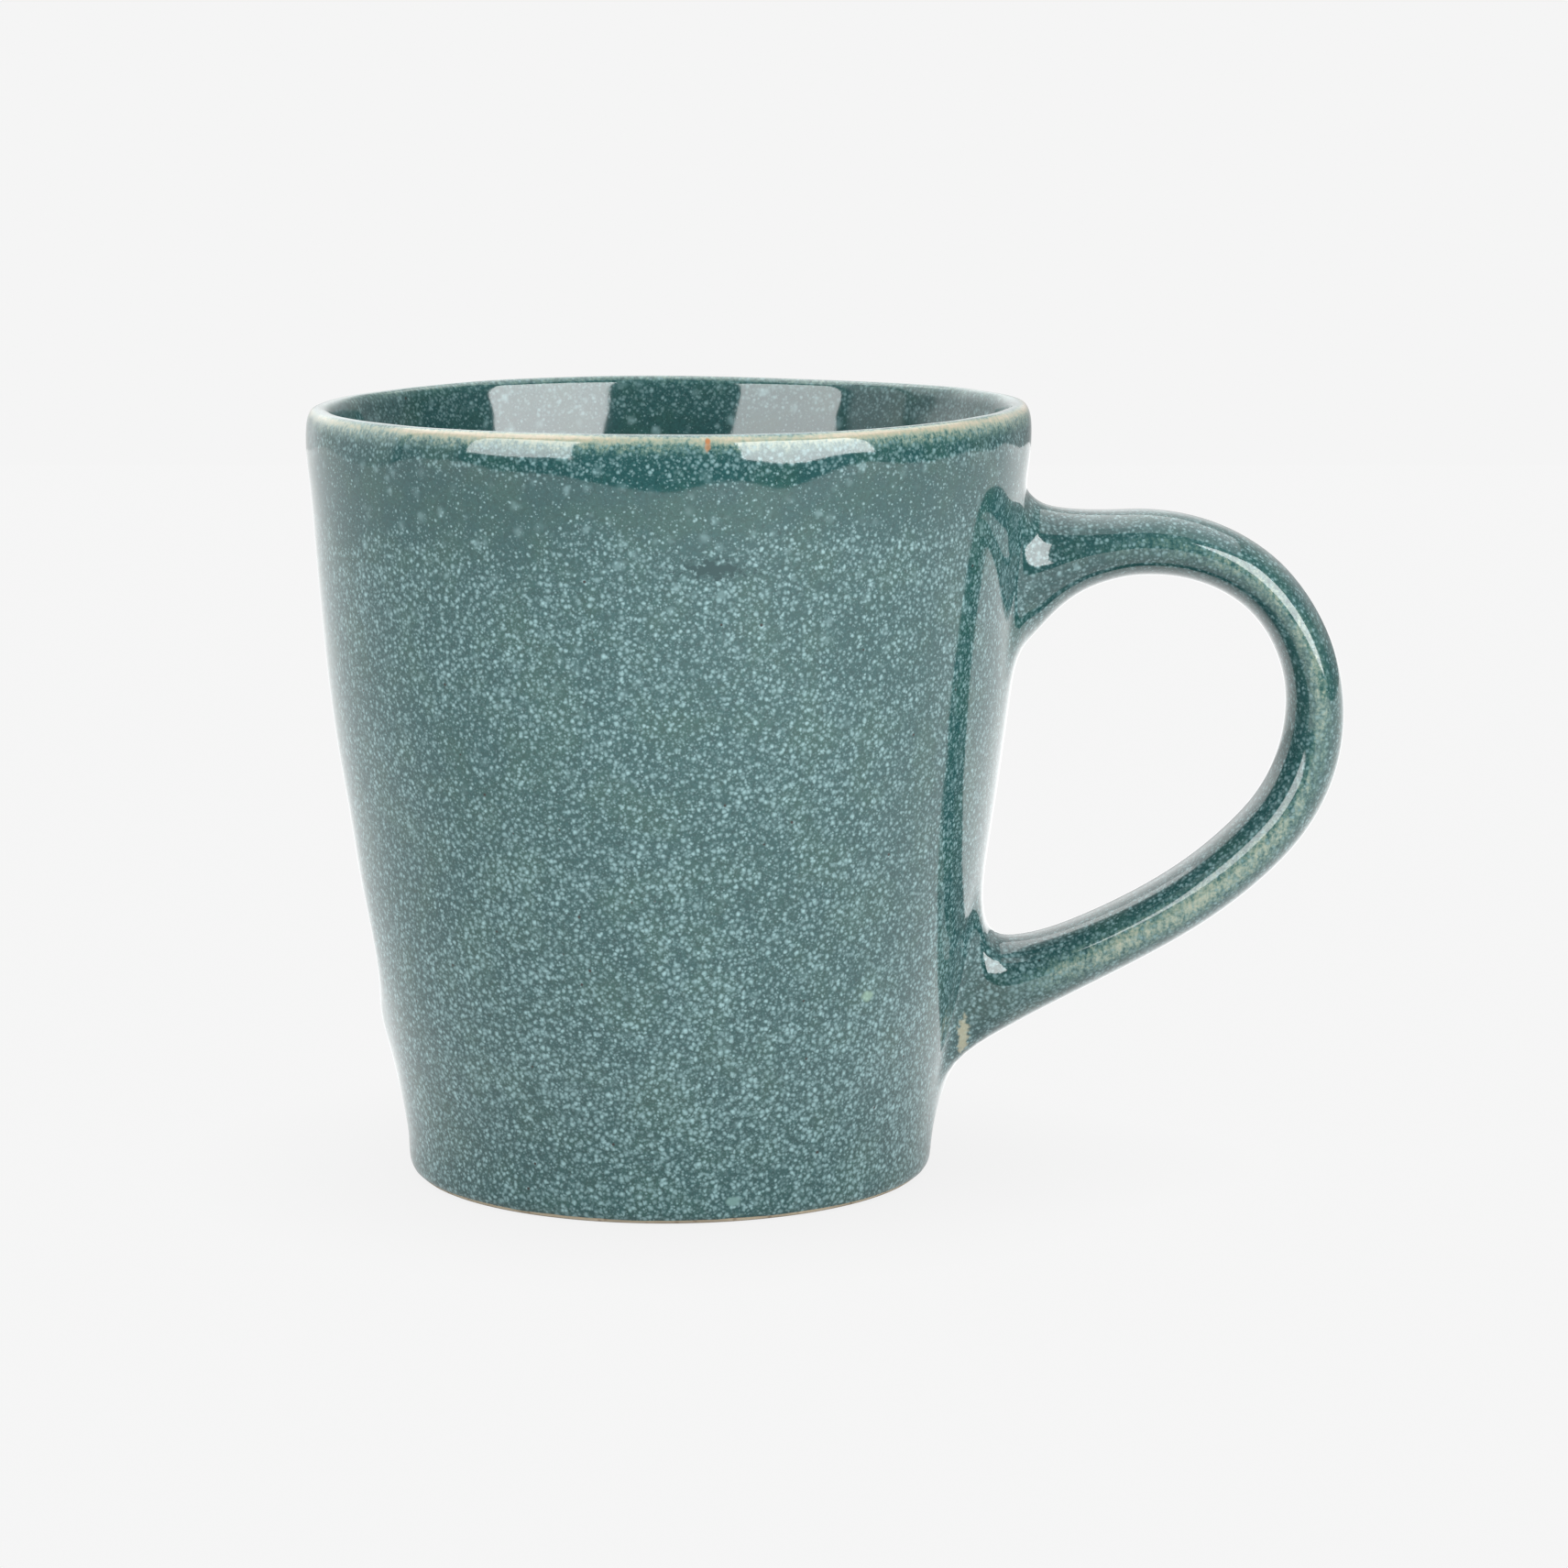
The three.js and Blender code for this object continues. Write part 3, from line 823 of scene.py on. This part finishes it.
    # Where it is thin the glaze runs down in short streaks: green, then yellow-green, then cream.
    run = add_node(group, "ShaderNodeMapping", {"Vector": place, "Scale": (1, 1, 0.22)}).outputs["Vector"]
    streak = cloud(1500, 3, 0.6, run)
    fleck = cloud(2400, 2, 0.6)
    ragged = math_node("ADD", spread(streak, 0.3, 0.7, -0.14, 0.14), spread(fleck, 0.3, 0.7, -0.17, 0.17))
    window = spread(given["Thinness"], 0.02, 0.3)
    thin = math_node("MULTIPLY_ADD", ragged, window, given["Thinness"])
    broken = add_node(group, "ShaderNodeValToRGB", {"Fac": thin})
    bands = broken.color_ramp
    bands.elements[0].position = 0.12
    bands.elements[0].color = (0.020, 0.058, 0.055, 1)
    bands.elements[1].position = 1.0
    bands.elements[1].color = (0.265, 0.235, 0.178, 1)
    for position, color in ((0.32, (0.048, 0.092, 0.080, 1)), (0.55, (0.145, 0.178, 0.140, 1)),
                            (0.78, (0.205, 0.205, 0.15, 1))):
        bands.elements.new(position).color = color
    cover = spread(thin, 0.05, 0.34, smooth=True)
    dotted_break = mix_colors(group, math_node("MULTIPLY", dots, spread(thin, 0.25, 0.6, 0.7, 0.1)),
                              broken.outputs["Color"], given["Dot"])
    color = mix_colors(group, cover, pale, dotted_break)

    sheen = spread(cloud(600, 2), 0.3, 0.7, 0.045, 0.085)
    skin = math_node("MULTIPLY_ADD", dots, 0.5, cloud(500, 1))
    skin = math_node("MULTIPLY_ADD", pins, -1.5, skin)
    add_node(group, "NodeGroupOutput", {"Color": color, "Roughness": sheen, "Height": skin})
    return group


glaze_group = reactive_glaze()


def glaze_material(name, deep, olive, dot, dotting, thin=True):
    """The reactive glaze with its own colours, read from the surface's thinness where it has one."""
    material = bpy.data.materials.new(name)
    material.use_nodes = True
    tree = material.node_tree
    shader = tree.nodes["Principled BSDF"]
    shader.inputs["IOR"].default_value = 1.5
    glaze = add_node(tree, "ShaderNodeGroup", node_tree=glaze_group)
    glaze.inputs["Deep"].default_value = (*deep, 1)
    glaze.inputs["Olive"].default_value = (*olive, 1)
    glaze.inputs["Dot"].default_value = (*dot, 1)
    glaze.inputs["Dotting"].default_value = dotting
    tree.links.new(add_node(tree, "ShaderNodeTexCoord").outputs["Object"], glaze.inputs["Coordinates"])
    if thin:
        thinness = add_node(tree, "ShaderNodeAttribute", attribute_name="thinness")
        tree.links.new(thinness.outputs["Fac"], glaze.inputs["Thinness"])
        calm = add_node(tree, "ShaderNodeAttribute", attribute_name="calm")
        tree.links.new(calm.outputs["Fac"], glaze.inputs["Calm"])
    bump = add_node(tree, "ShaderNodeBump", {
        "Height": glaze.outputs["Height"], "Strength": 0.25, "Distance": 0.02 * MM})
    tree.links.new(glaze.outputs["Color"], shader.inputs["Base Color"])
    tree.links.new(glaze.outputs["Roughness"], shader.inputs["Roughness"])
    tree.links.new(bump.outputs["Normal"], shader.inputs["Normal"])
    return material


teal_deep = (0.0115, 0.0450, 0.0460)
teal_olive = (0.0150, 0.0500, 0.0455)
dot_pale = (0.162, 0.262, 0.272)
wall_dotting = 0.478
# Single marks of the firing: middle from the cup's axis, half size, colour, strength, fraying.
firing_marks = [
    ((6.2, -42.5, 78.8), (3.6, 3, 0.9), (0.002, 0.026, 0.028), 1.0, 4.0),
    ((5.5, -43.6, 93.3), (0.34, 2, 0.4), (0.16, 0.055, 0.02), 0.9, 0.6),
    ((5.5, -43.6, 92.9), (0.4, 2, 0.9), (0.26, 0.12, 0.05), 0.6, 1.0),
    ((8.1, -31.4, 2.8), (0.9, 2, 0.62), (0.10, 0.18, 0.17), 0.7, 0.15),
    ((23.9, -27.5, 26.6), (0.8, 2, 0.7), (0.16, 0.25, 0.19), 0.6, 0.8),
    ((35.9, -8, 17.2), (0.75, 3.5, 2.8), (0.27, 0.26, 0.18), 0.7, 1.6)]


def mark_glaze(material):
    """Lays each mark over the glaze's colour, with an edge that is ragged and not round."""
    tree = material.node_tree
    shader = tree.nodes["Principled BSDF"]
    color = shader.inputs["Base Color"].links[0].from_socket
    place = add_node(tree, "ShaderNodeTexCoord").outputs["Object"]
    frays = add_node(tree, "ShaderNodeTexNoise", {"Vector": place, "Scale": 1500, "Detail": 2})
    for middle, half_size, tint, strength, fraying in firing_marks:
        centre = Vector(middle) * MM + Vector((cup_x, 0, 0))
        away = add_node(tree, "ShaderNodeVectorMath", {0: place, 1: centre}, operation="SUBTRACT")
        away = add_node(tree, "ShaderNodeVectorMath", {0: away.outputs[0], 1: Vector(half_size) * MM},
                        operation="DIVIDE")
        away = add_node(tree, "ShaderNodeVectorMath", {0: away.outputs[0]}, operation="LENGTH")
        frayed = calculate(tree, "MULTIPLY_ADD", frays.outputs["Fac"], fraying, away.outputs["Value"])
        mask = rescale(tree, frayed, 1.2 + fraying / 2, 0.6 + fraying / 2, 0.0, strength, smooth=True)
        color = mix_colors(tree, mask, color, (*tint, 1))
    tree.links.new(color, shader.inputs["Base Color"])


outer_finish = glaze_material("speckled_teal_glaze", teal_deep, teal_olive, dot_pale, wall_dotting)
mark_glaze(outer_finish)
glaze_skin.data.materials.append(outer_finish)
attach(glaze_skin, "root")
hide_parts("outer_glaze", "handle_glaze")

# ---- liner glaze --------------------------------------------------------------------------------
# The inside is lined with the same glaze, poured in and tipped out again, from just under the lip
# down over the rounded corner to the floor.

liner_finish = glaze_material("liner_teal_glaze", teal_deep, teal_olive, dot_pale, wall_dotting)
liner.data.materials.append(liner_finish)
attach(liner, "root")
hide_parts("liner_glaze")

# ---- glaze under the foot -----------------------------------------------------------------------
# A thin pool of the liner glaze lies in the recess inside the foot ring, thinner towards its edge.

pool_radius = 23.8
pool_face, pool_back = 1.28, 1.74
pool_columns = 64
pool_deep = (0.008, 0.036, 0.034)
pool_olive = (0.014, 0.04, 0.03)
pool_dotting = 0.36
pool_rings = [(2, pool_face), (8, 1.27), (16, 1.24), (21, 1.2), (23, 1.22), (23.6, 1.34),
              (pool_radius, 1.5), (23.6, 1.66), (23, 1.72), (16, pool_back), (8, pool_back),
              (2, pool_back)]
pool = stack_rings("underside_glaze_pool", pool_rings, pool_columns)
close_middle(pool, pool_face, 3)
close_middle(pool, pool_back, 3)
smooth_over(pool, 1)
pool_finish = glaze_material("foot_teal_glaze", pool_deep, pool_olive, dot_pale, pool_dotting, thin=False)
pool.data.materials.append(pool_finish)
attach(pool, "root")
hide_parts("underside_glaze")
